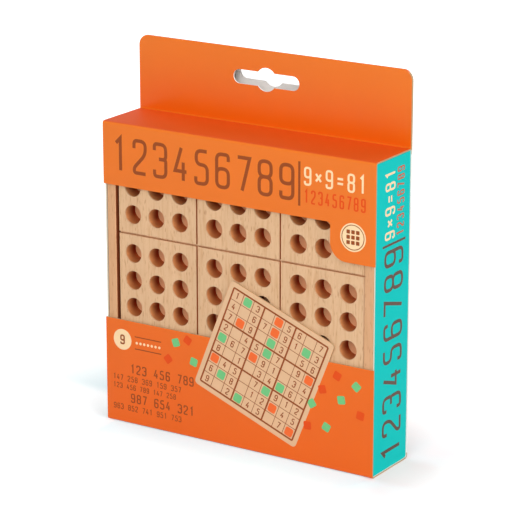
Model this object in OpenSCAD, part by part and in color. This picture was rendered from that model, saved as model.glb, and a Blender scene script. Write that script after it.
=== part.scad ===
// Boxed wooden sudoku board: a wrapped card sleeve with a hang tab, a card tray that slides in it,
// and in the tray a framed board with a lift-out peg panel and a store of pegs under the panel.
// X is the width, +Y points to the back and +Z up. The origin is the middle of the sleeve's foot.

/* [Peg panel] */
// Diameter of a peg hole
hole_d = 8.2; // [6:0.1:9.5]
// Depth of a peg hole
hole_depth = 7.4; // [5:0.1:12]
// Distance between neighbouring holes of one block
hole_pitch = 11.85; // [10.5:0.05:14]
// Extra distance between two blocks of nine holes
block_gap = 5.15; // [2:0.05:8]
// From the outer hole centres to the panel's left and right edges
side_margin = 7.35; // [6:0.05:12]
// From the outer hole centres to the panel's top and bottom edges
end_margin = 6; // [5.5:0.05:12]
// Wood left under the holes
panel_floor = 6.1; // [2:0.1:8]
// Width of the grooves between the blocks
groove_w = 0.9; // [0.4:0.1:1.8]
// Depth of the grooves between the blocks
groove_depth = 1.2; // [0.4:0.1:3]
// Softened edge of the panel
panel_chamfer = 0.4; // [0.1:0.1:1]
// Gap between the panel and the left rail
panel_gap_left = 1.4; // [0.1:0.1:2]
// Gap between the panel and the right rail
panel_gap_right = 0.2; // [0.1:0.1:2]
// Gap between the panel and the top and bottom rails
panel_gap_end = 0.2; // [0.1:0.1:1]

/* [Board frame] */
// Width of the left and right rails
side_rail_w = 4.2; // [2.5:0.1:8]
// Width of the top and bottom rails
end_rail_w = 3.7; // [2.5:0.1:8]
// Width of the ledge that carries the panel
ledge_w = 2; // [1:0.1:4]
// How far the panel's face lies below the rails' face
panel_recess = 0.3; // [0.1:0.1:3]
// Softened edge of the rails
rail_chamfer = 0.3; // [0.2:0.1:1]
// Radius of the frame's outer corners
frame_corner_r = 2; // [0.5:0.1:2.4]
// Width of the finger notches in the top and bottom rails
notch_w = 19; // [12:0.5:26]
// Thickness of the base board
base_t = 4; // [2:0.1:8]
// Gap between the base board and the rails
base_gap = 0.1; // [0.05:0.05:0.5]

/* [Pegs] */
// How much thinner a peg is than its hole
peg_play = 0.4; // [0.2:0.1:1]
// How far a peg stands out of its hole
peg_proud = 8; // [4:0.1:9]
// Softened edge of a peg
peg_chamfer = 0.6; // [0.2:0.1:1.5]
// Gap between the ends of stored pegs
peg_end_gap = 0.3; // [0.1:0.1:1]
// Gap between the rows of stored pegs
peg_row_gap = 0.1; // [0.05:0.05:0.5]
// Spare depth of the peg store
store_gap = 0.4; // [0.1:0.1:1.5]

/* [Tray] */
// Thickness of the card
card = 0.6; // [0.3:0.05:1.2]
// Gap between the board and the tray's walls
board_gap = 0.2; // [0.1:0.05:1]
// Spare height above the board
head_room = 3.9; // [1:0.1:12]
// Length of the glue flaps in the tray's corners
glue_flap = 16; // [8:0.5:30]
// How far the tray's ends lie inside the sleeve's ends
tray_recess = 0.3; // [0.1:0.1:2]

/* [Sleeve] */
// Gap between the tray and the sleeve
slide_gap = 0.25; // [0.1:0.05:1]
// Gap between the tray and the sleeve's foot
foot_gap = 0.1; // [0.05:0.05:0.5]
// Bend radius of the fold between the front and the top
front_top_r = 1.2; // [0.7:0.1:4]
// Bend radius of the fold between the back and the bottom
back_foot_r = 1.6; // [0.7:0.1:4]
// Bend radius of the fold between the front and the bottom
front_foot_r = 1; // [0.7:0.1:4]
// Height of the upper front band
upper_band_h = 27; // [15:0.1:36]
// Width of the drop at the right end of the upper band
drop_w = 20.9; // [12:0.1:30]
// Height of that drop, from the top of the front
drop_h = 42.6; // [38:0.1:52]
// Corner radius of the drop
drop_corner_r = 7.5; // [3:0.1:10]
// Fillet between the drop and the band
drop_fillet_r = 1.5; // [0.5:0.1:4]
// Height of the lower front band
lower_band_h = 46.3; // [30:0.1:60]
// Width of the tilted tile that stands up from the lower band
tile_w = 53.5; // [40:0.5:60]
// Height of that tile
tile_h = 51.5; // [40:0.5:60]
// Tilt of that tile, in degrees
tile_tilt = 21.5; // [5:0.5:40]
// Place of the tile's centre to the right of the middle
tile_x = 13.5; // [-20:0.5:15]
// Height of the tile's centre
tile_z = 39.5; // [30:0.5:45]
// Corner radius of the tile
tile_corner_r = 2; // [0.5:0.1:6]

/* [Hang tab] */
// Height of the tab above the top panel
tab_h = 32; // [26:0.5:50]
// Radius of the tab's upper corners
tab_corner_r = 4.5; // [1:0.1:10]
// Length of the hang slot
slot_w = 32; // [24:0.5:40]
// Height of the hang slot's wings
slot_h = 6; // [4.5:0.1:8]
// Diameter of the round middle of the hang slot
slot_eye_d = 10; // [8.5:0.1:13]
// Place of the hang slot to the right of the middle
slot_x = -2.5; // [-8:0.5:8]
// Height of the hang slot's centre above the top panel
slot_rise = 19.8; // [15:0.1:22]
// How far the rear ply of the tab bows out behind the front ply
ply_bow = 5.3; // [2:0.1:8]
// Bow that the rear ply would reach if its ends alone shaped it
ply_end_bow = 9; // [8.2:0.1:16]
// Width of the rim where the two plies lie together
ply_rim = 1.5; // [0.5:0.1:4]
// How much higher the slot sits in the rear ply
rear_slot_lift = 1; // [0:0.1:2]

/* [Hidden] */
$fn = 64;
// Overlap of a cut past the face that it opens
cut = 1;
grid_count = 9;
block_count = 3;
number_count = 9;
green_per_number = 5;
orange_per_number = 4;

// Board, from the hole pattern outwards
grid_half = (grid_count - 1) / 2 * hole_pitch + block_gap;
panel_w = 2 * (grid_half + side_margin);
panel_h = 2 * (grid_half + end_margin);
panel_t = hole_depth + panel_floor;
inner_w = panel_gap_left + panel_w + panel_gap_right;
inner_h = panel_h + 2 * panel_gap_end;
board_w = inner_w + 2 * side_rail_w;
board_h = inner_h + 2 * end_rail_w;

// Pegs, lying in rows across the store
peg_d = hole_d - peg_play;
peg_len = hole_depth + peg_proud;
peg_count = number_count * (green_per_number + orange_per_number);
store_w = inner_w - 2 * ledge_w;
store_h = inner_h - 2 * ledge_w;
pegs_across = floor((store_w - peg_end_gap) / (peg_len + peg_end_gap));
pegs_up = floor((store_h - peg_row_gap) / (peg_d + peg_row_gap));
pegs_per_layer = pegs_across * pegs_up;
peg_layers = ceil(peg_count / pegs_per_layer);
store_t = peg_layers * peg_d + store_gap;

// Depth of the frame, and of what holds it
rail_t = panel_recess + panel_t + store_t + base_t;
sleeve_d = 3 * card + 2 * slide_gap + rail_t + board_gap;
tray_w = board_w + 2 * board_gap + 2 * card;
sleeve_w = tray_w + 2 * tray_recess;

// Faces, from front to back
sleeve_front = -sleeve_d / 2;
sleeve_back = sleeve_d / 2;
tray_front = sleeve_front + card + slide_gap;
tray_back = sleeve_back - card - slide_gap;
panel_front = tray_front + panel_recess;
panel_back = panel_front + panel_t;
store_back = panel_back + store_t;
board_back = tray_front + rail_t;

// Faces, from the foot up
tray_foot = card + foot_gap;
board_foot = tray_foot + 2 * card;
board_top = board_foot + board_h;
tray_top = board_top + head_room + card;
sleeve_h = tray_top + slide_gap + card;
panel_x = (panel_gap_left - panel_gap_right) / 2;
panel_z = board_foot + board_h / 2;

// Outline of the tab and its slot
tab_top = sleeve_h + tab_h;
slot_z = sleeve_h + slot_rise;
ply_front = sleeve_back - 2 * card;
ply_middle = sleeve_back - card;
ply_half_h = tab_h / 2 - ply_rim;
ply_half_w = sleeve_w / 2 - ply_rim;
ply_z = sleeve_h + tab_h / 2;

card_colour = "darkorange";
tray_colour = "mediumturquoise";
wood_colour = "burlywood";
rail_colour = "tan";
green_colour = "mediumseagreen";
orange_colour = "tomato";

// Inner radius of a fold whose outer radius is r, which stays a little rounded in thick card
function inner_fold(r) = max(r - card, card / 4);

// Radius of the arc with a given half chord and height
function arc_radius(half, rise) = (half * half + rise * rise) / (2 * rise);

// Place of a hole along one side of the grid, from the grid's middle
function grid_place(i) = (i - (grid_count - 1) / 2) * hole_pitch + (floor(i / block_count) - 1) * block_gap;

// Turns an outline drawn in width and height into a solid that runs back from y0 to y1
module stand(y0, y1) {
  translate([0, y1, 0])
    rotate([90, 0, 0])
      linear_extrude(y1 - y0)
        children();
}

// Turns a side outline, drawn in depth and height, into a solid of width w about the middle
module along_width(w) {
  translate([-w / 2, 0, 0])
    rotate([90, 0, 90])
      linear_extrude(w)
        children();
}

// Box between two corners
module span(low, high) {
  translate(low)
    cube(high - low);
}

// Side outline of a box with three rounded folds and a square upper rear corner
module folded_outline(front, back, foot, top, front_foot, front_top, back_foot) {
  difference() {
    translate([front, foot])
      square([back - front, top - foot]);
    corner_waste([front, foot], [1, 1], front_foot);
    corner_waste([front, top], [1, -1], front_top);
    corner_waste([back, foot], [-1, 1], back_foot);
  }
}

// What rounding takes off a corner whose sides run inwards along dir
module corner_waste(at, dir, r) {
  translate(at)
    turn_corner(dir)
      difference() {
        translate([-cut, -cut])
          square(r + cut);
        translate([r, r])
          circle(r);
      }
}

// Turns an outline drawn for a lower left corner into the corner whose sides run along dir
module turn_corner(dir) {
  mirror([dir[0] < 0 ? 1 : 0, 0])
    mirror([0, dir[1] < 0 ? 1 : 0])
      children();
}

// Wall of the wrapped sheet, seen from the side
module wrap_outline() {
  difference() {
    folded_outline(sleeve_front, sleeve_back, 0, sleeve_h, front_foot_r, front_top_r, back_foot_r);
    folded_outline(sleeve_front + card, sleeve_back - card, card, sleeve_h - card,
                   inner_fold(front_foot_r), inner_fold(front_top_r), inner_fold(back_foot_r));
  }
}

// Rectangle with rounded corners about its middle
module rounded_rectangle(w, h, r) {
  square([w, h - 2 * r], center = true);
  square([w - 2 * r, h], center = true);
  for (x = [-1, 1], z = [-1, 1])
    translate([x * (w / 2 - r), z * (h / 2 - r)])
      circle(r);
}

// Tile that stands up from the lower band
module tile_outline() {
  translate([tile_x, tile_z])
    rotate(-tile_tilt)
      rounded_rectangle(tile_w, tile_h, tile_corner_r);
}

// Drop at the right end of the upper band, with its round corner and its fillet
module drop_outline() {
  left = sleeve_w / 2 - drop_w;
  foot = sleeve_h - drop_h;
  band_foot = sleeve_h - upper_band_h;
  translate([left + drop_corner_r, foot])
    square([drop_w - drop_corner_r + cut, drop_h - upper_band_h + cut]);
  translate([left, foot + drop_corner_r])
    square([drop_w, drop_h - upper_band_h - drop_corner_r + cut]);
  translate([left + drop_corner_r, foot + drop_corner_r])
    circle(drop_corner_r);
  difference() {
    translate([left - drop_fillet_r, band_foot - drop_fillet_r])
      square(drop_fillet_r + cut / 2);
    translate([left - drop_fillet_r, band_foot - drop_fillet_r])
      circle(drop_fillet_r);
  }
}

// Window between the two ends of the wrapped sheet
module window_outline() {
  difference() {
    translate([-sleeve_w / 2 - cut, lower_band_h])
      square([sleeve_w + 2 * cut, sleeve_h - upper_band_h - lower_band_h]);
    tile_outline();
    drop_outline();
  }
}

// Front of the tab, with two round upper corners
module tab_outline() {
  translate([-sleeve_w / 2, sleeve_h - card])
    square([sleeve_w, tab_h + card - tab_corner_r]);
  translate([-sleeve_w / 2 + tab_corner_r, sleeve_h - card])
    square([sleeve_w - 2 * tab_corner_r, tab_h + card]);
  for (side = [-1, 1])
    translate([side * (sleeve_w / 2 - tab_corner_r), tab_top - tab_corner_r])
      circle(tab_corner_r);
}

// Side of the tab: two plies, joined by the fold along the top
module tab_side() {
  translate([ply_front, sleeve_h - card])
    square([2 * card, tab_h]);
  translate([ply_middle, tab_top - card])
    circle(card);
}

// Hang slot: a long slot with a round eye in its middle
module slot_outline() {
  square([slot_w - slot_h, slot_h], center = true);
  for (side = [-1, 1])
    translate([side * (slot_w - slot_h) / 2, 0])
      circle(slot_h / 2);
  circle(d = slot_eye_d);
}

// Space that the bowed rear ply encloses behind the front ply, or fills when grown by the card
module ply_vault(grow) {
  up_r = arc_radius(ply_half_h, ply_bow);
  across_r = arc_radius(ply_half_w, ply_end_bow);
  intersection() {
    translate([0, ply_middle + ply_bow - up_r, ply_z])
      rotate([0, 90, 0])
        cylinder(r = up_r + grow, h = sleeve_w, center = true, $fn = 256);
    translate([0, ply_middle + ply_end_bow - across_r, ply_z])
      cylinder(r = across_r + grow, h = tab_h, center = true, $fn = 256);
    stand(ply_middle, sleeve_back + ply_end_bow)
      tab_outline();
  }
}

// The two plies where they lie flat
module tab_plies() {
  intersection() {
    stand(ply_front, sleeve_back)
      tab_outline();
    along_width(sleeve_w)
      tab_side();
  }
}

module sleeve() {
  color(card_colour)
    difference() {
      union() {
        along_width(sleeve_w)
          wrap_outline();
        tab_plies();
        ply_vault(card);
      }
      stand(sleeve_front - cut, sleeve_front + card + slide_gap / 2)
        window_outline();
      ply_vault(0);
      stand(ply_front - cut, ply_middle)
        translate([slot_x, slot_z])
          slot_outline();
      stand(ply_middle, sleeve_back + ply_end_bow)
        translate([slot_x, slot_z + rear_slot_lift])
          slot_outline();
    }
}

// Outside of the tray, seen from its end, clear of the sleeve's folds
module tray_outline() {
  folded_outline(tray_front, tray_back, tray_foot, tray_top,
                 inner_fold(front_foot_r), inner_fold(front_top_r), inner_fold(back_foot_r));
}

module tray() {
  color(tray_colour) {
    difference() {
      along_width(tray_w)
        tray_outline();
      span([-tray_w / 2 + card, tray_front - cut, tray_foot + card],
           [tray_w / 2 - card, tray_back - card, tray_top - card]);
      span([-tray_w / 2 + card, tray_front - cut, tray_foot - cut],
           [tray_w / 2 - card, tray_front + front_top_r, tray_top + cut]);
    }
    for (side = [-1, 1])
      for (foot = [tray_foot + card, tray_top - 2 * card])
        glue_flap_at(side, foot);
  }
}

// Flap of an end wall, glued to the inside of the tray's foot or top
module glue_flap_at(side, foot) {
  outer = tray_w / 2 - card;
  near = side > 0 ? outer - glue_flap : -outer;
  front = tray_front + front_top_r;
  span([near, front, foot], [near + glue_flap, tray_back - card, foot + card]);
}

// Section of a rail of width w: outer face at 0, ledge between the two rebates
module rail_section(w) {
  c = rail_chamfer;
  polygon([
    [c, tray_front], [w - c, tray_front], [w, tray_front + c],
    [w, panel_back], [w + ledge_w, panel_back], [w + ledge_w, store_back],
    [w, store_back], [w, board_back], [c, board_back], [0, board_back - c], [0, tray_front + c]
  ]);
}

// Left rail, over the frame's full height and with the frame's round outer corners
module side_rail() {
  intersection() {
    translate([-board_w / 2, 0, board_foot])
      linear_extrude(board_h)
        rail_section(side_rail_w);
    translate([0, 0, panel_z])
      stand(tray_front - cut, board_back + cut)
        rounded_rectangle(board_w, board_h, frame_corner_r);
  }
}

module left_rail() {
  color(rail_colour)
    side_rail();
}

module right_rail() {
  color(rail_colour)
    mirror([1, 0, 0])
      side_rail();
}

// Rail between the side rails at the foot of the frame, with a finger notch.
// Its ends are cut back round the side rails' ledges.
module end_rail() {
  difference() {
    translate([0, 0, board_foot])
      along_width(inner_w)
        mirror([1, -1])
          rail_section(end_rail_w);
    for (side = [-1, 1])
      span([side * inner_w / 2 - ledge_w, panel_back, board_foot - cut],
           [side * inner_w / 2 + ledge_w, store_back, board_foot + end_rail_w + ledge_w + cut]);
    translate([0, tray_front, board_foot - cut])
      cylinder(d = notch_w, h = end_rail_w + 2 * cut);
  }
}

module bottom_rail() {
  color(rail_colour)
    end_rail();
}

module top_rail() {
  color(rail_colour)
    translate([0, 0, board_foot + board_top])
      mirror([0, 0, 1])
        end_rail();
}

module base_board() {
  color(wood_colour)
    span([-inner_w / 2 + base_gap, store_back, board_foot + end_rail_w + base_gap],
         [inner_w / 2 - base_gap, board_back, board_top - end_rail_w - base_gap]);
}

// Panel outline with softened front edges
module panel_blank() {
  c = panel_chamfer;
  intersection() {
    translate([-panel_w / 2, 0, -panel_h / 2])
      linear_extrude(panel_h)
        polygon([[0, panel_back], [0, panel_front + c], [c, panel_front],
                 [panel_w - c, panel_front], [panel_w, panel_front + c], [panel_w, panel_back]]);
    translate([-panel_w / 2, 0, 0])
      rotate([90, 0, 90])
        linear_extrude(panel_w)
          polygon([[panel_back, -panel_h / 2], [panel_front + c, -panel_h / 2], [panel_front, -panel_h / 2 + c],
                   [panel_front, panel_h / 2 - c], [panel_front + c, panel_h / 2], [panel_back, panel_h / 2]]);
  }
}

module peg_panel() {
  color(wood_colour)
    translate([panel_x, 0, panel_z])
      difference() {
        panel_blank();
        for (i = [0:grid_count - 1], k = [0:grid_count - 1])
          translate([grid_place(i), panel_front + hole_depth, grid_place(k)])
            rotate([90, 0, 0])
              cylinder(d = hole_d, h = hole_depth + cut);
        for (side = [-1, 1]) {
          groove_at = side * (hole_pitch * block_count + block_gap) / 2;
          span([groove_at - groove_w / 2, panel_front - cut, -panel_h / 2 - cut],
               [groove_at + groove_w / 2, panel_front + groove_depth, panel_h / 2 + cut]);
          span([-panel_w / 2 - cut, panel_front - cut, groove_at - groove_w / 2],
               [panel_w / 2 + cut, panel_front + groove_depth, groove_at + groove_w / 2]);
        }
      }
}

// Peg with softened ends, lying along X from its left end
module peg() {
  c = peg_chamfer;
  rotate([0, 90, 0])
    rotate_extrude()
      polygon([[0, 0], [peg_d / 2 - c, 0], [peg_d / 2, c],
               [peg_d / 2, peg_len - c], [peg_d / 2 - c, peg_len], [0, peg_len]]);
}

// Stored peg number k: rows fill from the foot of the store, each from the left
module stored_peg(k) {
  layer = floor(k / pegs_per_layer);
  row = floor((k % pegs_per_layer) / pegs_across);
  column = k % pegs_per_layer % pegs_across;
  row_w = pegs_across * (peg_len + peg_end_gap) - peg_end_gap;
  translate([column * (peg_len + peg_end_gap) - row_w / 2,
             store_back - store_gap / 2 - peg_d / 2 - layer * peg_d,
             board_foot + end_rail_w + ledge_w + peg_d / 2 + peg_row_gap + row * (peg_d + peg_row_gap)])
    peg();
}

module peg_green(number) {
  color(green_colour)
    for (i = [0:green_per_number - 1])
      stored_peg((number - 1) * green_per_number + i);
}

module peg_orange(number) {
  color(orange_colour)
    for (i = [0:orange_per_number - 1])
      stored_peg(number_count * green_per_number + (number - 1) * orange_per_number + i);
}

sleeve();
tray();
base_board();
left_rail();
right_rail();
top_rail();
bottom_rail();
peg_panel();
for (n = [1:number_count]) {
  peg_green(n);
  peg_orange(n);
}
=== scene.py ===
"""Boxed wooden peg board: card, wood, generic print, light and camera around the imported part.

The row frame is used throughout: the origin is the middle of the sleeve's foot, +Y is the back,
+Z is up, and lengths are metres. Named sizes are millimetres times MM.
"""

import math

import bmesh
import bpy
from mathutils import Matrix, Vector


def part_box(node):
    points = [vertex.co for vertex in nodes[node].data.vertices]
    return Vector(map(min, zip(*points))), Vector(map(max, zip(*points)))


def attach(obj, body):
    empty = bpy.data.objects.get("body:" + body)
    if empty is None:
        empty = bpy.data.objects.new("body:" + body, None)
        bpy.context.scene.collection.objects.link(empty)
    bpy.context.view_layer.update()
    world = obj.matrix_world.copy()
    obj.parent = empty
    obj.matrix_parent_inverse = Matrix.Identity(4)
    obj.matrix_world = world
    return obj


MM = 0.001

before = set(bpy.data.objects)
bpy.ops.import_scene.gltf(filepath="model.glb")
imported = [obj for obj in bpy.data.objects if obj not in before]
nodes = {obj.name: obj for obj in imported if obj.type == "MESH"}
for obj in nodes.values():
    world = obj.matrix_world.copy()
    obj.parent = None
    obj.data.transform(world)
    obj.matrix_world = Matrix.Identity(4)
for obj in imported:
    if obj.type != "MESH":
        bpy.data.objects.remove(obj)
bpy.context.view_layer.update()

sleeve_low, sleeve_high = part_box("sleeve")
tray_low, tray_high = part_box("tray")
panel_low, panel_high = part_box("peg_panel")

# Sizes that the boxes don't give
TAB_H = 32 * MM
CARD = 0.6 * MM
ROOF_Z = sleeve_high.z - TAB_H
MIDDLE_Z = ROOF_Z / 2
# The carton's back. The tab's rear ply bows out behind it.
BACK_Y = -sleeve_low.y
PLY_MIDDLE_Y = BACK_Y - CARD
PANEL_T = panel_high.y - panel_low.y
PANEL_MIDDLE_X = (panel_low.x + panel_high.x) / 2
# The upright grooves of the panel, to either side of its middle
GROOVE_X = 20.35 * MM
GROOVE_REACH = 1 * MM
# The hang slot lies within this distance of the tab's middle
SLOT_REACH = 20 * MM

# Colours of the card
# The sleeve's orange is one ink, drawn darker at the foot and lighter at the head: painted shade
# and painted light.
FOOT_SHADED_ORANGE = (231, 99, 4)
HEAD_LIT_ORANGE = (231, 116, 26)
# The top colours are the card's colours drawn darker for upper faces: painted shade.
TOP_SHADED_ORANGE = (221, 83, 0)
TEAL = (5, 196, 190)
TOP_SHADED_TEAL = (5, 190, 184)
RAW_CARD = (252, 247, 242)
TRAY_CARD = (226, 217, 196)
CUT_CARD = (186, 156, 116)
# Colours of the wood
PANEL_BEECH = (226, 188, 149)
RAIL_BEECH = (218, 168, 126)
BASE_BEECH = (212, 176, 136)
# Hole and groove colours: browner than the face at the rim, darker further in and on the floors as
# painted shade, and lighter on the holes' lower sides as painted light from above.
HOLE_RIM_BROWN = (231, 159, 100)
HOLE_DEEP_SHADE = (140, 44, 8)
LOW_SIDE_LIT_RIM = (198, 128, 76)
LOW_SIDE_LIT_DEEP = (184, 98, 52)
GROOVE_SHADE = (172, 82, 20)
HOLE_FLOOR_SHADE = (242, 178, 130)
# The rails' side colour is painted shade for the gap beside the panel.
RAIL_SIDE_SHADE = (138, 57, 10)
GRAIN_BROWN = (202, 152, 106)
FLECK_BROWN = (168, 108, 62)
PEG_GREEN = (116, 196, 128)
PEG_ORANGE = (236, 98, 40)
# Colours of the print, on the sleeve and on the tray's ends
PRINT_BROWN = (148, 70, 24)
PRINT_CREAM = (254, 219, 172)
PRINT_RED = (226, 76, 12)
PRINT_WOOD = (226, 186, 146)
PRINT_GREEN = (112, 196, 128)
PRINT_ORANGE = (242, 108, 48)
END_BROWN = (86, 60, 44)
END_RED = (188, 98, 62)


def linear(colour):
    """A colour of three sRGB values from 0 to 255 as linear values, with an alpha of 1."""
    parts = [c / 255 for c in colour]
    values = [p / 12.92 if p <= 0.04045 else ((p + 0.055) / 1.055) ** 2.4 for p in parts]
    return (*values, 1.0)


def scaled(colour, amount):
    """The colour, lighter or darker."""
    return tuple(min(255, c * amount) for c in colour)


class Surface:
    """A material, with one short call for each kind of node that the materials here use."""

    def __init__(self, name, specular):
        self.material = bpy.data.materials.new(name)
        self.material.use_nodes = True
        self.tree = self.material.node_tree
        self.shader = self.tree.nodes["Principled BSDF"]
        self.shader.inputs["Specular IOR Level"].default_value = specular
        self.place = self.node("ShaderNodeTexCoord").outputs["Object"]
        self.normal = self.node("ShaderNodeNewGeometry").outputs["Normal"]

    def node(self, kind, **inputs):
        """A new node, with its named inputs linked or set."""
        made = self.tree.nodes.new(kind)
        for name, value in inputs.items():
            self.feed(made.inputs[name], value)
        return made

    def feed(self, socket, value):
        """Link the socket to another one, or set its value."""
        if isinstance(value, bpy.types.NodeSocket):
            self.tree.links.new(value, socket)
        else:
            socket.default_value = value

    def math(self, operation, *values):
        """The result of one step of arithmetic."""
        made = self.tree.nodes.new("ShaderNodeMath")
        made.operation = operation
        for socket, value in zip(made.inputs, values):
            self.feed(socket, value)
        return made.outputs[0]

    def above(self, value, limit):
        """1 where the value is over the limit, else 0."""
        return self.math("GREATER_THAN", value, limit)

    def below(self, value, limit):
        """1 where the value is under the limit, else 0."""
        return self.math("LESS_THAN", value, limit)

    def both(self, first, second):
        """1 where both masks are 1, or one value times the other."""
        return self.math("MULTIPLY", first, second)

    def either(self, first, second):
        """1 where one of the masks is 1, or the larger of two values."""
        return self.math("MAXIMUM", first, second)

    def less(self, first, second):
        """The first value less the second."""
        return self.math("SUBTRACT", first, second)

    def size(self, value):
        """The value without its sign."""
        return self.math("ABSOLUTE", value)

    def between(self, share, low, high):
        """From low to high as the share goes from 0 to 1."""
        return self.math("MULTIPLY_ADD", share, high - low, low)

    def axes(self, vector):
        """The three parts of a vector."""
        return self.node("ShaderNodeSeparateXYZ", Vector=vector).outputs

    def ramp(self, value, start, end):
        """0 up to the start, 1 from the end on and smooth between them, in either direction."""
        made = self.node("ShaderNodeMapRange", Value=value)
        made.interpolation_type = "SMOOTHSTEP"
        made.inputs["From Min"].default_value = start
        made.inputs["From Max"].default_value = end
        return made.outputs["Result"]

    def noise(self, size, stretch=(1, 1, 1), detail=2.0):
        """Noise whose blots are about size across, longer along an axis by its stretch."""
        mapping = self.node("ShaderNodeMapping", Vector=self.place)
        mapping.inputs["Scale"].default_value = [1 / (size * s) for s in stretch]
        made = self.node("ShaderNodeTexNoise", Vector=mapping.outputs[0])
        made.inputs["Scale"].default_value = 1.0
        made.inputs["Detail"].default_value = detail
        return made.outputs["Fac"]

    def mix(self, share, first, second):
        """The first colour, with a share of the second over it."""
        made = self.tree.nodes.new("ShaderNodeMix")
        made.data_type = "RGBA"
        sockets = [s for s in made.inputs if s.type == "RGBA"]
        factor = next(s for s in made.inputs if s.name == "Factor" and s.type == "VALUE")
        self.feed(factor, share)
        self.feed(sockets[0], first)
        self.feed(sockets[1], second)
        return next(s for s in made.outputs if s.type == "RGBA")

    def varied(self, share, colour, low, high):
        """The colour, from low to high times as light as the share goes from 0 to 1."""
        return self.mix(share, linear(scaled(colour, low)), linear(scaled(colour, high)))

    def colour(self, value):
        """Set or link the base colour."""
        self.feed(self.shader.inputs["Base Color"], value)

    def roughness(self, value):
        """Set or link the roughness."""
        self.feed(self.shader.inputs["Roughness"], value)

    def bump(self, height, depth):
        """Relief, with the height's full range being depth."""
        made = self.node("ShaderNodeBump", Height=height)
        made.inputs["Distance"].default_value = depth
        made.inputs["Strength"].default_value = 1.0
        self.feed(self.shader.inputs["Normal"], made.outputs[0])


# A face is turned along an axis where that part of its normal is over this. The tab's rear ply and
# its top fold lean, so less is asked of them.
TURNED = 0.5
REAR_TURNED = 0.2
FOLD_TURNED = 0.3
# Outer faces lie at least this far out from the middle, along their normals
SLEEVE_OUT = 12 * MM
TRAY_OUT = 5 * MM
# Room for the plies and the roof to lie a little off the places named above
PLY_ROOM = CARD / 3
ROOF_ROOM = CARD / 2
# Height of the fold at the tab's head
FOLD_H = 2 * CARD
# Cut edges this near to the front, the top and the foot are stained
STAIN_REACH = 4 * CARD


def sleeve_print_mask(surface):
    """1 on the sleeve's outer faces, 0 on its inside and on its cut edges."""
    _, y, z = surface.axes(surface.place)
    _, ny, nz = surface.axes(surface.normal)
    height = surface.less(z, MIDDLE_Z)
    outward = surface.math("ADD", surface.both(ny, y), surface.both(nz, height))
    wrap = surface.both(surface.above(outward, SLEEVE_OUT), surface.below(z, ROOF_Z + ROOF_ROOM))
    front_ply = surface.below(y, PLY_MIDDLE_Y - PLY_ROOM)
    rear_ply = surface.above(y, PLY_MIDDLE_Y + PLY_ROOM)
    tab_head = surface.above(z, sleeve_high.z - FOLD_H)
    tab_front = surface.both(surface.below(ny, -TURNED), front_ply)
    tab_rear = surface.both(surface.above(ny, REAR_TURNED), rear_ply)
    tab_fold = surface.both(surface.above(nz, FOLD_TURNED), tab_head)
    tab = surface.either(surface.either(tab_front, tab_rear), tab_fold)
    tab = surface.both(tab, surface.above(z, ROOF_Z - ROOF_ROOM))
    return surface.either(wrap, tab)


def tray_print_mask(surface):
    """1 on the tray's outer faces, 0 on its inside and on the cut edges at its open front."""
    x, y, z = surface.axes(surface.place)
    nx, ny, nz = surface.axes(surface.normal)
    height = surface.less(z, MIDDLE_Z)
    outward = surface.math("ADD", surface.both(nx, x), surface.both(nz, height))
    behind = surface.both(surface.either(ny, 0.0), y)
    return surface.above(surface.math("ADD", outward, behind), TRAY_OUT)


def sleeve_cut_mask(surface):
    """1 on the sleeve's stained cut edges: the window's, and its ends' near front, top and foot."""
    x, y, z = surface.axes(surface.place)
    nx, ny, _ = surface.axes(surface.normal)
    at_front = surface.below(y, sleeve_low.y + STAIN_REACH)
    at_top = surface.above(z, ROOF_Z - STAIN_REACH)
    at_foot = surface.below(z, sleeve_low.z + STAIN_REACH)
    rim = surface.either(at_front, surface.either(at_top, at_foot))
    end = surface.above(surface.size(nx), TURNED)
    end = surface.both(end, surface.above(surface.size(x), SLOT_REACH))
    window = surface.below(surface.size(ny), TURNED)
    window = surface.both(window, surface.below(y, sleeve_low.y + CARD))
    return surface.either(window, surface.both(end, rim))


def painted_light_rise(surface):
    """0 at the foot and 1 at the head of the carton's sides, and so again on the hang tab: how much
    of the painted light lightens the ink there.
    """
    _, _, z = surface.axes(surface.place)
    rise = surface.ramp(z, sleeve_low.z, ROOF_Z)
    tab_rise = surface.ramp(z, ROOF_Z, sleeve_high.z)
    on_tab = surface.above(z, ROOF_Z + CARD)
    return surface.math("MULTIPLY_ADD", on_tab, surface.less(tab_rise, 1.0), rise)


# Blot sizes of the ink's clouds, the paper's fibre and the layers of a cut edge
CARD_CLOUD = 24 * MM
FIBRE = 0.35 * MM
CARD_LAYER = 0.5 * MM
LAYER_STRETCH = (1, 0.3, 1)
# Lightness of the ink in clouds and specks, of the painted highlight along folds, and of the
# layers' dark parts
CLOUD_LIGHT = (0.985, 1.015)
SPECK_LIGHT = 1.1
FOLD_HIGHLIGHT = 1.18
LAYER_LIGHT = 0.8
# How strongly specks, the folds' painted highlight and layers show
SPECK_SHARE = 0.1
FOLD_HIGHLIGHT_SHARE = 0.05
LAYER_SHARE = 0.25
# Where these begin and are full: specks by the fibre's noise, upper faces by the normal's part
# along Z, and the folds' painted highlight by the normal's largest part
CARD_SPECKS = (0.68, 0.8)
UPPER = (0.6, 1.0)
FOLD_HIGHLIGHT_RANGE = (0.99, 0.75)
# The ink's roughness varies by this to either side, and the carton's top is rubbed duller
GLOSS_SPREAD = 0.04
TOP_ROUGHNESS = 0.62
BARE_ROUGHNESS = 0.85
CARD_BUMP = 0.004 * MM


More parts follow.
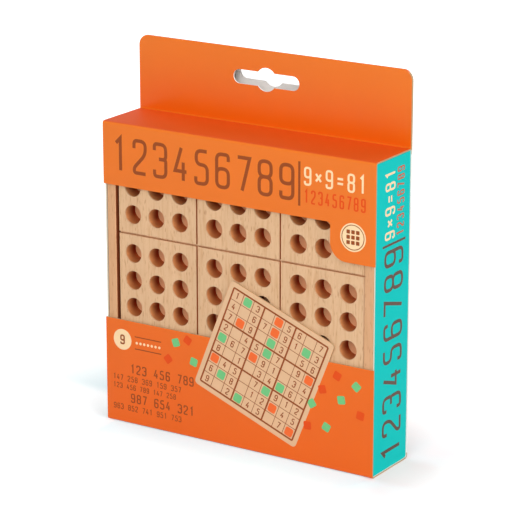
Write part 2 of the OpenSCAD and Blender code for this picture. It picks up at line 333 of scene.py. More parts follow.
def printed_card(name, colours, gloss, specular, print_mask, stained=None):
    """Coated card: ink outside with a sheen, and bare board inside and at cut edges.

    colours are those of the ink at the foot and at the head of upright faces and on upper faces,
    and of the bare board, and gloss is the ink's roughness. The ink is drawn darker at the foot,
    lighter at the head and darker on upper faces: painted shade and painted light. Its folds are
    drawn lighter, a painted highlight. print_mask and stained are functions that mark the printed
    faces and the cut edges stained brown."""
    surface = Surface(name, specular)
    shaded_foot_colour, lit_head_colour, shaded_top_colour, bare = colours
    cloud = surface.noise(CARD_CLOUD, detail=3.0)
    fibre = surface.noise(FIBRE, detail=3.0)
    layers = surface.noise(CARD_LAYER, LAYER_STRETCH)
    nx, ny, nz = surface.axes(surface.normal)
    shaded_foot_ink = surface.varied(cloud, shaded_foot_colour, *CLOUD_LIGHT)
    lit_head_ink = surface.varied(cloud, lit_head_colour, *CLOUD_LIGHT)
    # The ink lightens from foot to head: painted light, which the ink carries from here on.
    ink = surface.mix(painted_light_rise(surface), shaded_foot_ink, lit_head_ink)
    speck = surface.both(surface.ramp(fibre, *CARD_SPECKS), SPECK_SHARE)
    ink = surface.mix(speck, ink, linear(scaled(lit_head_colour, SPECK_LIGHT)))
    upper = surface.ramp(nz, *UPPER)
    # Upper faces take the darker top colour: painted shade.
    ink = surface.mix(upper, ink, linear(shaded_top_colour))
    # Faces turned between the axes, at folds, are drawn lighter: a painted highlight.
    largest = surface.either(surface.size(ny), surface.size(nz))
    largest = surface.either(largest, surface.size(nx))
    fold = surface.both(surface.ramp(largest, *FOLD_HIGHLIGHT_RANGE), FOLD_HIGHLIGHT_SHARE)
    ink = surface.mix(fold, ink, linear(scaled(lit_head_colour, FOLD_HIGHLIGHT)))
    layer = surface.both(layers, LAYER_SHARE)
    raw = surface.mix(layer, linear(bare), linear(scaled(bare, LAYER_LIGHT)))
    if stained is not None:
        raw = surface.mix(stained(surface), raw, linear(CUT_CARD))
    printed = print_mask(surface)
    surface.colour(surface.mix(printed, raw, ink))
    ink_roughness = surface.between(cloud, gloss - GLOSS_SPREAD, gloss + GLOSS_SPREAD)
    ink_roughness = surface.math("MULTIPLY_ADD", upper, TOP_ROUGHNESS - gloss, ink_roughness)
    drop = surface.less(ink_roughness, BARE_ROUGHNESS)
    surface.roughness(surface.math("MULTIPLY_ADD", drop, printed, BARE_ROUGHNESS))
    surface.bump(fibre, CARD_BUMP)
    return surface.material


# The axes that grain may run along
ALONG_X = 0
ALONG_Z = 2
# Blot sizes of growth bands, streaks, fine grain and flecks, and their stretch along the grain
BAND = 7 * MM
STREAK = 1.2 * MM
FINE_GRAIN = 0.55 * MM
FLECK = 0.5 * MM
GRAIN_STRETCH = 14.0
FLECK_STRETCH = 7.0
# Noise where streaks and flecks begin and are full
STREAKS = (0.45, 0.75)
FLECKS = (0.6, 0.76)
# How strongly streaks, fine grain and flecks show
STREAK_SHARE = 0.5
FINE_SHARE = 0.3
FLECK_SHARE = 0.5
BAND_LIGHT = (0.95, 1.04)
WOOD_ROUGHNESS = (0.48, 0.68)
WOOD_SPECULAR = 0.3
WOOD_BUMP = 0.012 * MM


def beech(name, colour, grain, finish=None, specular=WOOD_SPECULAR):
    """Fine-sanded beech: long pale growth bands, fine grain and short dark flecks along the grain.

    grain is the axis that it runs along. finish takes the surface and its colour, and returns the
    colour with painted shade in the holes, grooves and rail sides, and painted light on the holes'
    lower sides."""
    surface = Surface(name, specular)
    along = [1.0, 1.0, 1.0]
    along[grain] = GRAIN_STRETCH
    short = [1.0, 1.0, 1.0]
    short[grain] = FLECK_STRETCH
    bands = surface.noise(BAND, along)
    streak = surface.ramp(surface.noise(STREAK, along), *STREAKS)
    fine = surface.noise(FINE_GRAIN, along, detail=3.0)
    fleck = surface.ramp(surface.noise(FLECK, short, detail=1.0), *FLECKS)
    tone = surface.varied(bands, colour, *BAND_LIGHT)
    tone = surface.mix(surface.both(streak, STREAK_SHARE), tone, linear(GRAIN_BROWN))
    tone = surface.mix(surface.both(fine, FINE_SHARE), tone, linear(GRAIN_BROWN))
    tone = surface.mix(surface.both(fleck, FLECK_SHARE), tone, linear(FLECK_BROWN))
    if finish is not None:
        tone = finish(surface, tone)
    surface.colour(tone)
    surface.roughness(surface.between(fine, *WOOD_ROUGHNESS))
    surface.bump(surface.less(fine, fleck), WOOD_BUMP)
    return surface.material


# Depths in the panel between which a wall turns brown, the rim's brown darkens into the deep one as
# painted shade, and a groove darkens with painted shade
WALL_DEPTHS = (0.2 * MM, 1.2 * MM)
DEEP_DEPTHS = (0.8 * MM, 6.6 * MM)
GROOVE_DEPTHS = (0.1 * MM, 0.7 * MM)
# The normal's part along Z where the lower side of a hole begins and is full. That side is drawn
# more even and lighter deep in: painted light from above.
LOWER_SIDE = (0.25, 0.95)
# Rings that the drill left round the walls
RING = 0.5 * MM
RING_STRETCH = (4, 0.5, 4)
RING_SHARE = 0.15
RING_LIGHT = 0.8
# The holes' floors lie deeper than this in the panel, and further than this from its back
FLOOR_DEPTH = 3 * MM
FLOOR_TO_BACK = 2 * MM
FLOOR_SHARE = 0.85


def painted_hole_shade(surface, tone):
    """Peg holes and grooves: walls brown inside the rim and darker further in, and redder, darker
    floors, as painted shade. The lower side of a hole is drawn more even and lighter deep in, as
    painted light from above, and the upright grooves' walls are darkened more strongly, as painted
    shade."""
    x, y, _ = surface.axes(surface.place)
    _, ny, nz = surface.axes(surface.normal)
    depth = surface.less(y, panel_low.y)
    facing = surface.above(surface.size(ny), TURNED)
    wall = surface.less(1.0, facing)
    # The lower side is drawn lighter deep in: painted light from above.
    lower = surface.ramp(nz, *LOWER_SIDE)
    rim = surface.mix(lower, linear(HOLE_RIM_BROWN), linear(LOW_SIDE_LIT_RIM))
    deep = surface.mix(lower, linear(HOLE_DEEP_SHADE), linear(LOW_SIDE_LIT_DEEP))
    # Walls darken further into the hole: painted shade.
    brown = surface.mix(surface.ramp(depth, *DEEP_DEPTHS), rim, deep)
    rings = surface.both(surface.noise(RING, RING_STRETCH), RING_SHARE)
    brown = surface.mix(rings, brown, linear(scaled(HOLE_DEEP_SHADE, RING_LIGHT)))
    shaded_walls = surface.both(wall, surface.ramp(depth, *WALL_DEPTHS))
    tone = surface.mix(shaded_walls, tone, brown)
    aside = surface.size(surface.less(x, PANEL_MIDDLE_X))
    from_groove = surface.size(surface.less(aside, GROOVE_X))
    groove = surface.both(wall, surface.below(from_groove, GROOVE_REACH))
    groove = surface.both(groove, surface.ramp(depth, *GROOVE_DEPTHS))
    # Groove walls are darkened: painted shade.
    tone = surface.mix(groove, tone, linear(GROOVE_SHADE))
    # Hole floors are drawn redder and darker: painted shade.
    off_back = surface.below(depth, PANEL_T - FLOOR_TO_BACK)
    inside = surface.both(surface.above(depth, FLOOR_DEPTH), off_back)
    floor = surface.both(surface.both(facing, inside), FLOOR_SHARE)
    return surface.mix(floor, tone, linear(HOLE_FLOOR_SHADE))


# Rail sides are turned along X by at least this, and darkened this strongly with painted shade
SIDE_TURNED = 0.9
SIDE_SHARE = 0.9


def painted_rail_side_shade(surface, tone):
    """The rails' sides drawn dark brown: painted shade, for the gap beside the panel."""
    nx, _, _ = surface.axes(surface.normal)
    side = surface.above(surface.size(nx), SIDE_TURNED)
    # Both sides of the upright rails are darkened: painted shade.
    return surface.mix(surface.both(side, SIDE_SHARE), tone, linear(RAIL_SIDE_SHADE))


# Paint on the pegs
PAINT_GRAIN = 0.6 * MM
PAINT_STRETCH = (8, 1, 1)
PAINT_LIGHT = (0.93, 1.06)
PAINT_ROUGHNESS = (0.32, 0.52)
PAINT_SPECULAR = 0.5
PAINT_BUMP = 0.02 * MM


def painted_wood(name, colour):
    """Thin satin paint over turned wood, with the grain just showing."""
    surface = Surface(name, PAINT_SPECULAR)
    grain = surface.noise(PAINT_GRAIN, PAINT_STRETCH, detail=3.0)
    surface.colour(surface.varied(grain, colour, *PAINT_LIGHT))
    surface.roughness(surface.between(grain, *PAINT_ROUGHNESS))
    surface.bump(grain, PAINT_BUMP)
    return surface.material


# Ink of the print
INK_CLOUD = 3 * MM
INK_LIGHT = (0.97, 1.02)
INK_SPECKS = (0.66, 0.8)
INK_SPECK_SHARE = 0.15
INK_SPECK_LIGHT = 1.12
INK_ROUGHNESS = (0.38, 0.48)
INK_SPECULAR = 0.2
INK_BUMP = 0.01 * MM


def printing_ink(name, colour):
    """Ink on coated card, with the faint unevenness of a printed solid."""
    surface = Surface(name, INK_SPECULAR)
    cloud = surface.noise(INK_CLOUD, detail=3.0)
    fibre = surface.noise(FIBRE, detail=3.0)
    tone = surface.varied(cloud, colour, *INK_LIGHT)
    speck = surface.both(surface.ramp(fibre, *INK_SPECKS), INK_SPECK_SHARE)
    surface.colour(surface.mix(speck, tone, linear(scaled(colour, INK_SPECK_LIGHT))))
    surface.roughness(surface.between(cloud, *INK_ROUGHNESS))
    surface.bump(fibre, INK_BUMP)
    return surface.material


class Panel:
    """A flat face that takes print: an origin, and unit directions across, up and out of it."""

    def __init__(self, origin, across, up):
        self.origin, self.across, self.up = Vector(origin), Vector(across), Vector(up)
        self.out = self.across.cross(self.up)

    def point(self, u, v, lift):
        """The place of (u, v), lifted off the face."""
        return self.origin + self.across * u + self.up * v + self.out * lift

    def turned(self, u, v, angle):
        """The same face with its origin at (u, v) and its directions turned by angle."""
        turn = Matrix.Rotation(angle, 3, self.out)
        return Panel(self.point(u, v, 0), turn @ self.across, turn @ self.up)


# Thickness of the ink: of single marks, of the tile's ground, over that ground and over other marks
INK_T = 0.03 * MM
TILE_GROUND_T = 0.02 * MM
TILE_INK_T = 0.04 * MM
OVER_INK_T = 0.05 * MM


class Print:
    """Flat shapes of one ink on one panel, built as thin closed solids in one mesh."""

    # The ink begins this far inside the card, and each layer of lines stands this far out
    SUNK = 0.01 * MM
    LAYER = 0.01 * MM

    def __init__(self, panel, thickness=INK_T):
        self.panel, self.thickness = panel, thickness
        self.mesh = bmesh.new()

    def ring(self, points, lift):
        """New vertices at the points, lifted off the panel."""
        return [self.mesh.verts.new(self.panel.point(u, v, lift)) for u, v in points]

    def corners(self, points, layer=0):
        """The vertices of a ring of points, at the back of the ink and at its face."""
        lifts = (-self.SUNK, self.thickness + layer * self.LAYER)
        return [self.ring(points, lift) for lift in lifts]

    def shape(self, points):
        """A filled outline, given counterclockwise."""
        back, face = self.corners(points)
        self.mesh.faces.new(face)
        self.mesh.faces.new(back[::-1])
        for i, corner in enumerate(face):
            j = (i + 1) % len(face)
            self.mesh.faces.new((back[i], back[j], face[j], corner))

    def stroke(self, points, width, closed=False, layer=0):
        """A line of constant width along points, mitred where it turns.

        Lines that cross differ in layer."""
        sides = [offset_line(points, side * width / 2, closed) for side in (-1, 1)]
        (right_back, right), (left_back, left) = (self.corners(side, layer) for side in sides)
        last = len(points) if closed else len(points) - 1
        for i in range(last):
            j = (i + 1) % len(points)
            self.mesh.faces.new((right[i], right[j], left[j], left[i]))
            self.mesh.faces.new((right_back[j], right_back[i], left_back[i], left_back[j]))
            self.mesh.faces.new((right_back[i], right_back[j], right[j], right[i]))
            self.mesh.faces.new((left_back[j], left_back[i], left[i], left[j]))
        if not closed:
            self.mesh.faces.new((right_back[0], right[0], left[0], left_back[0]))
            self.mesh.faces.new((right[-1], right_back[-1], left_back[-1], left[-1]))

    def finish(self, name, ink, body, slot):
        """Make the mesh a piece of the scene that rides on the body."""
        data = bpy.data.meshes.new(name)
        self.mesh.to_mesh(data)
        self.mesh.free()
        data.materials.append(ink)
        made = bpy.data.objects.new(name, data)
        bpy.context.scene.collection.objects.link(made)
        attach(made, body)


# A mitre is cut short where the cosine of half its turn is under this
SHARPEST = 0.3


def offset_line(points, distance, closed):
    """The points moved to the left by distance, with mitred corners."""
    moved = []
    count = len(points)
    for i in range(count):
        here = Vector(points[i])
        before = Vector(points[i - 1]) if closed or i > 0 else None
        after = Vector(points[(i + 1) % count]) if closed or i < count - 1 else None
        ways = []
        if before is not None:
            ways.append((here - before).normalized())
        if after is not None:
            ways.append((after - here).normalized())
        normals = [Vector((-w.y, w.x)) for w in ways]
        middle = sum(normals, Vector((0, 0))).normalized()
        moved.append(here + middle * distance / max(SHARPEST, middle.dot(normals[0])))
    return moved


# Points closer than this are one point
SAME_POINT = 0.002 * MM


def eased(points, radius, closed=False, steps=6):
    """A line through points with its corners rounded, or less where an arm is too short."""
    result = []
    count = len(points)
    for i in range(count):
        here = Vector(points[i])
        if not closed and i in (0, count - 1):
            result.append(here)
            continue
        to_before = Vector(points[i - 1]) - here
        to_after = Vector(points[(i + 1) % count]) - here
        reach = min(radius, to_before.length / 2, to_after.length / 2)
        start = here + to_before.normalized() * reach
        end = here + to_after.normalized() * reach
        for k in range(steps + 1):
            t = k / steps
            result.append(start * (1 - t) ** 2 + here * 2 * t * (1 - t) + end * t ** 2)
    return [p for i, p in enumerate(result) if i == 0 or (p - result[i - 1]).length > SAME_POINT]


def disc(u, v, radius, count=48):
    """The outline of a disc about (u, v), with count corners."""
    turns = [2 * math.pi * k / count for k in range(count)]
    return [(u + radius * math.cos(a), v + radius * math.sin(a)) for a in turns]


def rounded_box(u, v, width, height, radius, angle=0.0):
    """A rounded rectangle about (u, v), turned by angle."""
    w, h = width / 2, height / 2
    outline = eased([(-w, -h), (w, -h), (w, h), (-w, h)], radius, closed=True)
    c, s = math.cos(angle), math.sin(angle)
    return [(u + p.x * c - p.y * s, v + p.x * s + p.y * c) for p in outline]


# Each sign as lines in a cell that is 1 wide and 1 high, with True for a closed line
SIGNS = {
    "1": [([(0.2, 0.84), (0.58, 1), (0.58, 0)], False)],
    "2": [([(0, 0.76), (0, 1), (1, 1), (1, 0.6), (0, 0.16), (0, 0), (1, 0)], False)],
    "3": [
        ([(0, 0.8), (0, 1), (1, 1), (1, 0.54), (0.4, 0.54)], False),
        ([(0.6, 0.54), (1, 0.54), (1, 0), (0, 0), (0, 0.2)], False),
    ],
    "4": [
        ([(0.56, 1), (0, 0.28), (1, 0.28)], False),
        ([(0.72, 0), (0.72, 0.56)], False),
    ],
    "5": [([(0.96, 1), (0.05, 1), (0.05, 0.58), (1, 0.58), (1, 0), (0, 0), (0, 0.2)], False)],
    "6": [
        ([(1, 0.8), (1, 1), (0, 1), (0, 0.28)], False),
        ([(0, 0), (1, 0), (1, 0.56), (0, 0.56)], True),
    ],
    "7": [([(0, 1), (1, 1), (0.36, 0)], False)],
    "8": [
        ([(0, 0.53), (1, 0.53), (1, 1), (0, 1)], True),
        ([(0, 0), (1, 0), (1, 0.53), (0, 0.53)], True),
    ],
    "9": [
        ([(0, 0.2), (0, 0), (1, 0), (1, 0.72)], False),
        ([(0, 0.44), (1, 0.44), (1, 1), (0, 1)], True),
    ],
    "x": [([(0.05, 0.28), (0.95, 0.72)], False), ([(0.05, 0.72), (0.95, 0.28)], False)],
    "=": [([(0, 0.36), (1, 0.36)], False), ([(0, 0.64), (1, 0.64)], False)],
}
SHARP_SIGNS = "147x="
# Radius of the other signs' corners, as a share of the width
SIGN_ROUND = 0.45


def write(ink, signs, u, v, width, height, gap, stroke):
    """Plain numbers in a row from (u, v), each sign width by height, with rounded corners."""
    inner_w, inner_h = width - stroke, height - stroke
    for place, sign in enumerate(signs):
        if sign == " ":
            continue
        left = u + place * (width + gap) + stroke / 2
        for layer, (line, closed) in enumerate(SIGNS[sign]):
            points = [(left + x * inner_w, v + stroke / 2 + y * inner_h) for x, y in line]
            if sign not in SHARP_SIGNS:
                points = eased(points, inner_w * SIGN_ROUND, closed)
            ink.stroke(points, stroke, closed, layer)


def cell_width(count, length, gap):
    """The width of each of count signs that fill a length."""
    return (length - (count - 1) * gap) / count


# The printed heading: a row of tall numbers, a bar, and two short rows of smaller numbers
TITLE_SIGNS = "123456789"
TITLE_L = 89.4 * MM
TITLE_H = 15.3 * MM
TITLE_GAP = 3.1 * MM
TITLE_STROKE = 1.5 * MM
BAR_U = 91.7 * MM
BAR_W = 1 * MM
BAR_RISE = 1.5 * MM
ROWS_U = 93.9 * MM
ROWS_L = 28.6 * MM
CREAM_SIGNS = "9x9=81"
CREAM_V = 7.3 * MM
CREAM_H = 7.8 * MM
CREAM_GAP = 1.6 * MM
CREAM_STROKE = 0.9 * MM
RED_SIGNS = "123456789"
RED_V = -0.1 * MM
RED_H = 5.8 * MM
RED_GAP = 1.1 * MM
RED_STROKE = 0.7 * MM


def heading(panel, name, body, slot, inks):
    """The heading along a panel, from its origin."""
    brown = Print(panel)
    width = cell_width(len(TITLE_SIGNS), TITLE_L, TITLE_GAP)
    write(brown, TITLE_SIGNS, 0, 0, width, TITLE_H, TITLE_GAP, TITLE_STROKE)
    brown.stroke([(BAR_U, -BAR_RISE), (BAR_U, TITLE_H + BAR_RISE)], BAR_W)
    brown.finish(name + "_numbers", inks["brown"], body, slot)
    cream = Print(panel)
    width = cell_width(len(CREAM_SIGNS), ROWS_L, CREAM_GAP)
    write(cream, CREAM_SIGNS, ROWS_U, CREAM_V, width, CREAM_H, CREAM_GAP, CREAM_STROKE)
    cream.finish(name + "_cream_row", inks["cream"], body, slot)
    red = Print(panel)
    width = cell_width(len(RED_SIGNS), ROWS_L, RED_GAP)
    write(red, RED_SIGNS, ROWS_U, RED_V, width, RED_H, RED_GAP, RED_STROKE)
    red.finish(name + "_red_row", inks["red"], body, slot)


# Print on the front of the sleeve, from its lower left corner
HEADING_U = 4.9 * MM
HEADING_V = 111.2 * MM
# A badge: a disc with a ring and three by three small squares
BADGE_U = 121.7 * MM
BADGE_V = 100.3 * MM
BADGE_R = 5.9 * MM
RING_INSET = 0.8 * MM
RING_W = 0.35 * MM
BADGE_PITCH = 2.2 * MM
BADGE_SIDE = 1.6 * MM
BADGE_CORNER_R = 0.3 * MM
# A disc with one number
MARK_U = 8.5 * MM
MARK_V = 37.5 * MM
MARK_R = 4.6 * MM
MARK_SIGN = "9"
MARK_SIGN_W = 2.4 * MM
MARK_SIGN_H = 4.4 * MM
MARK_STROKE = 0.7 * MM
# Two rules, with a row of dots between them
RULE_U = (14.9 * MM, 28.5 * MM)
RULE_V = (34.4 * MM, 39.8 * MM)
RULE_W = 0.4 * MM
DOTS = 7
DOT_R = 0.6 * MM
DOT_CORNERS = 20
# Rows of small numbers: height above the foot, sign height, signs
NOTE_U = 3.4 * MM
NOTE_ROWS = [
    (22.9 * MM, 4.2 * MM, "   123 456 789"),
    (19.0 * MM, 2.6 * MM, "147 258 369 159 357"),
    (15.4 * MM, 2.4 * MM, "123 456 789 147 258"),
    (9.7 * MM, 4.2 * MM, "   987 654 321"),
    (5.8 * MM, 2.6 * MM, "963 852 741 951 753"),
]
# Width, gap and stroke of their signs, as shares of the sign height
NOTE_WIDTH = 0.52
NOTE_GAP = 0.2
NOTE_STROKE = 0.13


def front_print(panel, inks):
    """The print of the front: heading, badge, number disc, two rules and rows of small numbers."""
    heading(panel.turned(HEADING_U, HEADING_V, 0), "front", "sleeve", "sleeve_card", inks)
    rule_start, rule_end = RULE_U
    cream = Print(panel)
    cream.shape(disc(BADGE_U, BADGE_V, BADGE_R))
    cream.shape(disc(MARK_U, MARK_V, MARK_R))
    for k in range(DOTS):
        dot_u = rule_start + (k + 0.5) * (rule_end - rule_start) / DOTS
        cream.shape(disc(dot_u, sum(RULE_V) / 2, DOT_R, DOT_CORNERS))
    cream.finish("front_cream_marks", inks["cream"], "sleeve", "sleeve_card")
    brown = Print(panel, OVER_INK_T)
    brown.stroke(disc(BADGE_U, BADGE_V, BADGE_R - RING_INSET), RING_W, closed=True)
    for column in (-1, 0, 1):
        for row in (-1, 0, 1):
            u, v = BADGE_U + column * BADGE_PITCH, BADGE_V + row * BADGE_PITCH
            brown.shape(rounded_box(u, v, BADGE_SIDE, BADGE_SIDE, BADGE_CORNER_R))
    u, v = MARK_U - MARK_SIGN_W / 2, MARK_V - MARK_SIGN_H / 2
    write(brown, MARK_SIGN, u, v, MARK_SIGN_W, MARK_SIGN_H, 0, MARK_STROKE)
    for v in RULE_V:
        brown.stroke([(rule_start, v), (rule_end, v)], RULE_W)
    for v, height, signs in NOTE_ROWS:
        width, gap, stroke = (height * share for share in (NOTE_WIDTH, NOTE_GAP, NOTE_STROKE))
        write(brown, signs, NOTE_U, v, width, height, gap, stroke)
    brown.finish("front_brown_marks", inks["brown"], "sleeve", "sleeve_card")


# The printed tile: a number grid, with some cells filled
TILE_U = 79.5 * MM
TILE_V = 39.5 * MM
TILE_TILT = math.radians(-21.5)
TILE_W = 53.4 * MM
TILE_H = 51.4 * MM
TILE_CORNER_R = 2 * MM
GRID_W = 48.6 * MM
GRID_H = 46.6 * MM
THIN_LINE = 0.25 * MM
BLOCK_LINE = 0.75 * MM
CELLS = 9
BLOCK_CELLS = 3
FILL_SIDE = 3.9 * MM
FILL_CORNER_R = FILL_SIDE / 4
CELL_SIGN_W = 1.6 * MM
CELL_SIGN_H = 3 * MM
CELL_STROKE = 0.42 * MM
# One row of signs per row of the grid: a number is plain, g and o are green and orange cells
TILE_ROWS = [
    "1g3 o56 7",
    "4 67o91g3",
    "7o9 g3 56",
    "2 45g7 9o",
    "g67o91 34",
    "8 1 34g67",
    "o45 7g912",
    "6g8 12o45",
    "9 2g45 7o",
]


def tile_print(front, inks):
    """The tile's ground, grid, numbers and filled cells."""
    panel = front.turned(TILE_U, TILE_V, TILE_TILT)
    ground = Print(panel, TILE_GROUND_T)
    ground.shape(rounded_box(0, 0, TILE_W, TILE_H, TILE_CORNER_R))
    ground.finish("tile_ground", inks["wood"], "sleeve", "sleeve_card")
    cell_w, cell_h = GRID_W / CELLS, GRID_H / CELLS
    left, foot = -GRID_W / 2, -GRID_H / 2
    brown = Print(panel, TILE_INK_T)
    for k in range(CELLS + 1):
        width = BLOCK_LINE if k % BLOCK_CELLS == 0 else THIN_LINE
        u, v = left + k * cell_w, foot + k * cell_h
        brown.stroke([(u, foot), (u, -foot)], width)
        brown.stroke([(left, v), (-left, v)], width, layer=1)
    fills = {"g": Print(panel, TILE_INK_T), "o": Print(panel, TILE_INK_T)}
    for row, signs in enumerate(TILE_ROWS):
        for column, sign in enumerate(signs):
            u = left + (column + 0.5) * cell_w
            v = -foot - (row + 0.5) * cell_h
            if sign in fills:
                fills[sign].shape(rounded_box(u, v, FILL_SIDE, FILL_SIDE, FILL_CORNER_R))
            else:
                u, v = u - CELL_SIGN_W / 2, v - CELL_SIGN_H / 2
                write(brown, sign, u, v, CELL_SIGN_W, CELL_SIGN_H, 0, CELL_STROKE)
    brown.finish("tile_grid", inks["brown"], "sleeve", "sleeve_card")
    fills["g"].finish("tile_green_cells", inks["green"], "sleeve", "sleeve_card")
    fills["o"].finish("tile_orange_cells", inks["orange"], "sleeve", "sleeve_card")


# Loose squares printed round the tile: place on the front in millimetres, turn in degrees
GREEN_SQUARES = [
    (36, 41, 20),
    (45, 34, -15),
    (103, 27, 35),
    (117, 31, 10),
    (110, 18, -25),
    (124, 38, 50),
]
RED_SQUARES = [
    (32, 33, 40),
    (42, 43, -30),
    (108, 34, 15),
    (126, 26, -10),
    (115, 41, 65),
    (101, 17, 5),
]
SQUARE_SIDE = 3.6 * MM
SQUARE_CORNER_R = 0.8 * MM


def loose_squares(front, inks):
    """The loose squares, green and red."""
    for name, places in (("green", GREEN_SQUARES), ("red", RED_SQUARES)):
        ink = Print(front)
        for u, v, degrees in places:
            turn = math.radians(degrees)
            ink.shape(
                rounded_box(u * MM, v * MM, SQUARE_SIDE, SQUARE_SIDE, SQUARE_CORNER_R, turn)
            )
        ink.finish("front_" + name + "_squares", inks[name], "sleeve", "sleeve_card")


# The heading on the tray's ends runs up from the foot, its signs' tops towards the front on the
# right end and towards the back on the left end
END_HEADING_Z = 4.2 * MM
END_BASELINE_Y = 8.8 * MM


def dress_print():
    """All print, on the sleeve's front and on the tray's two ends."""
    inks = {
        "brown": printing_ink("brown_ink", PRINT_BROWN),
        "cream": printing_ink("cream_ink", PRINT_CREAM),
        "red": printing_ink("red_ink", PRINT_RED),
        "wood": printing_ink("wood_ink", PRINT_WOOD),
        "green": printing_ink("green_ink", PRINT_GREEN),
        "orange": printing_ink("orange_ink", PRINT_ORANGE),
    }
    end_inks = {
        "brown": printing_ink("end_brown_ink", END_BROWN),
        "cream": inks["cream"],
        "red": printing_ink("end_red_ink", END_RED),
    }
    front = Panel(sleeve_low, (1, 0, 0), (0, 0, 1))
    front_print(front, inks)
    tile_print(front, inks)
    loose_squares(front, inks)
    right = Panel((tray_high.x, END_BASELINE_Y, END_HEADING_Z), (0, 0, 1), (0, -1, 0))
    heading(right, "right_end", "tray", "tray_card", end_inks)
    left = Panel((tray_low.x, -END_BASELINE_Y, END_HEADING_Z), (0, 0, 1), (0, 1, 0))
    heading(left, "left_end", "tray", "tray_card", end_inks)


# Roughness of the ink and specular level of the two sheets of card, and of the sanded panel
SLEEVE_GLOSS = 0.32
SLEEVE_SPECULAR = 0.3
TRAY_GLOSS = 0.4
TRAY_SPECULAR = 0.03
PANEL_SPECULAR = 0.08


def dress_nodes():
    """Each CAD node's material."""
    upright = beech("rail_beech_upright", RAIL_BEECH, ALONG_Z, painted_rail_side_shade)
    level = beech("rail_beech_level", RAIL_BEECH, ALONG_X)
    finishes = {
        "sleeve": printed_card(
            "orange_card",
            (FOOT_SHADED_ORANGE, HEAD_LIT_ORANGE, TOP_SHADED_ORANGE, RAW_CARD),
            SLEEVE_GLOSS,
            SLEEVE_SPECULAR,
            sleeve_print_mask,
            sleeve_cut_mask,
        ),
        "tray": printed_card(
            "teal_card",
            (TEAL, TEAL, TOP_SHADED_TEAL, TRAY_CARD),
            TRAY_GLOSS,
            TRAY_SPECULAR,
            tray_print_mask,
        ),
        "peg_panel": beech("panel_beech", PANEL_BEECH, ALONG_Z, painted_hole_shade, PANEL_SPECULAR),
        "left_rail": upright,
        "right_rail": upright,
        "top_rail": level,
        "bottom_rail": level,
        "base_board": beech("base_beech", BASE_BEECH, ALONG_Z),
    }
    green = painted_wood("green_paint", PEG_GREEN)
    orange = painted_wood("orange_paint", PEG_ORANGE)
    for name, node in nodes.items():
        paint = green if name.startswith("peg_green") else orange
        node.data.materials.clear()
        node.data.materials.append(finishes.get(name, paint))


# The camera, fitted to the carton's corners and the hole centres in the photograph. Yaw and pitch
# are in radians, the lens and the sensor in millimetres.
CAMERA_PLACE = Vector((549.8 * MM, -855.0 * MM, 382.9 * MM))
CAMERA_YAW = 0.5691
CAMERA_PITCH = 0.2910
CAMERA_LENS = 177.35
SENSOR = 36.0


def place_camera():
    """The scene's camera, turned by its yaw and tilted down by its pitch."""
    data = bpy.data.cameras.new("camera")
    data.lens = CAMERA_LENS
    data.sensor_width = SENSOR
    camera = bpy.data.objects.new("camera", data)
    camera.location = CAMERA_PLACE
    camera.rotation_euler = (math.pi / 2 - CAMERA_PITCH, 0, CAMERA_YAW)
    bpy.context.scene.collection.objects.link(camera)
    bpy.context.scene.camera = camera


# Lamps: place and size in metres, power in watts
LAMPS = {
    "key": ((0.4, -1.3, 0.75), 0.9, 11.0),
    "side": ((1.25, -0.45, 0.9), 0.9, 11.5),
    "top": ((0.2, -0.4, 1.5), 1.2, 2.5),
    "left": ((-1.4, 0.3, 0.6), 0.9, 7.0),
    "back": ((0.3, 1.5, 0.8), 1.0, 9.0),
}
AIM = Vector((0, 0, 70 * MM))
WORLD_LIGHT = 0.2
WHITE = (1, 1, 1, 1)


def light_scene():
    """Large soft lamps round the part, and a world that is white where it is seen."""
    for name, (place, size, power) in LAMPS.items():
        lamp = bpy.data.lights.new(name, "AREA")
        lamp.size = size
        lamp.energy = power
        made = bpy.data.objects.new(name, lamp)
        made.location = place
        made.rotation_euler = (AIM - Vector(place)).to_track_quat("-Z", "Y").to_euler()
        bpy.context.scene.collection.objects.link(made)
    world = bpy.data.worlds.new("world")
    world.use_nodes = True
    bpy.context.scene.world = world
    tree = world.node_tree
    seen = seen_directly(tree, tree.nodes.new("ShaderNodeLightPath"))
    strength = tree.nodes.new("ShaderNodeMapRange")
    strength.inputs["To Min"].default_value = WORLD_LIGHT
    strength.inputs["To Max"].default_value = 1.0
    tree.links.new(seen, strength.inputs["Value"])
    background = tree.nodes["Background"]
    background.inputs["Color"].default_value = WHITE
    tree.links.new(strength.outputs["Result"], background.inputs["Strength"])


def seen_directly(tree, path):
    """1 for a camera, glossy or transmission ray, else 0."""
    total = path.outputs["Is Camera Ray"]
    for name in ("Is Glossy Ray", "Is Transmission Ray"):
        largest = tree.nodes.new("ShaderNodeMath")
        largest.operation = "MAXIMUM"
        tree.links.new(total, largest.inputs[0])
        tree.links.new(path.outputs[name], largest.inputs[1])
        total = largest.outputs[0]
    return total


FLOOR_SIZE = 6.0
FLOOR_WHITE = (236, 236, 236)
FLOOR_ROUGHNESS = 0.9
FLOOR_SPECULAR = 0.1
# The floor lies this far under the foot
FLOOR_DROP = 0.05 * MM
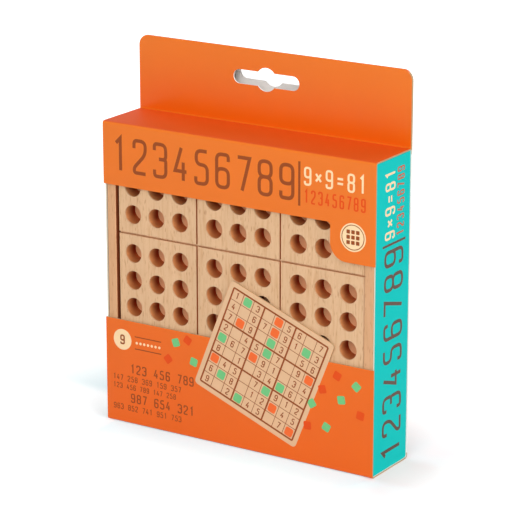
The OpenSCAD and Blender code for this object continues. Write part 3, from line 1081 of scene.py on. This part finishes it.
# The floor's glow, where it is seen. Beside the foot it is weaker, so the floor there is darker:
# painted shadow deepening the real one. Its colour differs by side and corner, and evens out the
# colour that the card casts on the floor. It reaches FLOOR_GLOW at SHADOW_REACH from the foot,
# or at BACK_REACH behind it, and FAR_GLOW over FAR_REACH.
FRONT_GLOW = (0.05, 0.28, 0.33, 1)
LEFT_GLOW = (0.34, 0.27, 0.28, 1)
LEFT_CORNER_GLOW = (0.24, 0.34, 0.37, 1)
RIGHT_GLOW = (0.13, 0, 0, 1)
RIGHT_CORNER_GLOW = (0.13, 0.12, 0.14, 1)
BACK_GLOW = (0.03, 0.15, 0.18, 1)
RIGHT_BACK_GLOW = (0.15, 0.14, 0.16, 1)
FLOOR_GLOW = (0.58, 0.58, 0.58, 1)
FAR_GLOW = WHITE
SHADOW_REACH = 50 * MM
BACK_REACH = 80 * MM
FAR_REACH = (400 * MM, 1500 * MM)
# Width of the change from one side's glow to the next
SIDE_BLEND = 6 * MM


def foot_glow(surface, x, y):
    """The glow beside the foot at the front and the two ends, and the glow behind it."""
    at_left = surface.ramp(x, sleeve_low.x + SIDE_BLEND, sleeve_low.x)
    at_right = surface.ramp(x, sleeve_high.x - SIDE_BLEND, sleeve_high.x)
    past_front = surface.ramp(y, sleeve_low.y + SIDE_BLEND / 2, sleeve_low.y - SIDE_BLEND)
    past_right = surface.ramp(x, sleeve_high.x - SIDE_BLEND / 2, sleeve_high.x + 1.5 * SIDE_BLEND)
    left = surface.mix(past_front, LEFT_GLOW, LEFT_CORNER_GLOW)
    corner = surface.mix(past_right, FRONT_GLOW, RIGHT_CORNER_GLOW)
    right = surface.mix(past_front, RIGHT_GLOW, corner)
    foot = surface.mix(at_right, surface.mix(at_left, FRONT_GLOW, left), right)
    return foot, surface.mix(past_right, BACK_GLOW, RIGHT_BACK_GLOW)


def lay_floor():
    """A white floor that takes the part's shadow and glows where it is seen."""
    mesh = bmesh.new()
    bmesh.ops.create_grid(mesh, x_segments=1, y_segments=1, size=FLOOR_SIZE)
    data = bpy.data.meshes.new("floor")
    mesh.to_mesh(data)
    mesh.free()
    floor = bpy.data.objects.new("floor", data)
    floor.location.z = sleeve_low.z - FLOOR_DROP
    bpy.context.scene.collection.objects.link(floor)
    surface = Surface("floor_white", FLOOR_SPECULAR)
    surface.roughness(FLOOR_ROUGHNESS)
    surface.colour(linear(FLOOR_WHITE))
    x, y, _ = surface.axes(surface.place)
    beside = surface.less(surface.size(x), sleeve_high.x)
    before = surface.less(surface.size(y), BACK_Y)
    distance = surface.either(beside, before)
    at_back = surface.ramp(y, BACK_Y - SIDE_BLEND, BACK_Y + SIDE_BLEND)
    foot, back = foot_glow(surface, x, y)
    foot = surface.mix(surface.ramp(distance, 0, SHADOW_REACH), foot, FLOOR_GLOW)
    back = surface.mix(surface.ramp(distance, 0, BACK_REACH), back, FLOOR_GLOW)
    close = surface.mix(at_back, foot, back)
    glow = surface.mix(surface.ramp(distance, *FAR_REACH), close, FAR_GLOW)
    seen = seen_directly(surface.tree, surface.node("ShaderNodeLightPath"))
    surface.feed(surface.shader.inputs["Emission Color"], glow)
    surface.feed(surface.shader.inputs["Emission Strength"], seen)
    data.materials.append(surface.material)


dress_nodes()
dress_print()
place_camera()
light_scene()
lay_floor()
bpy.context.scene.view_settings.view_transform = "Standard"
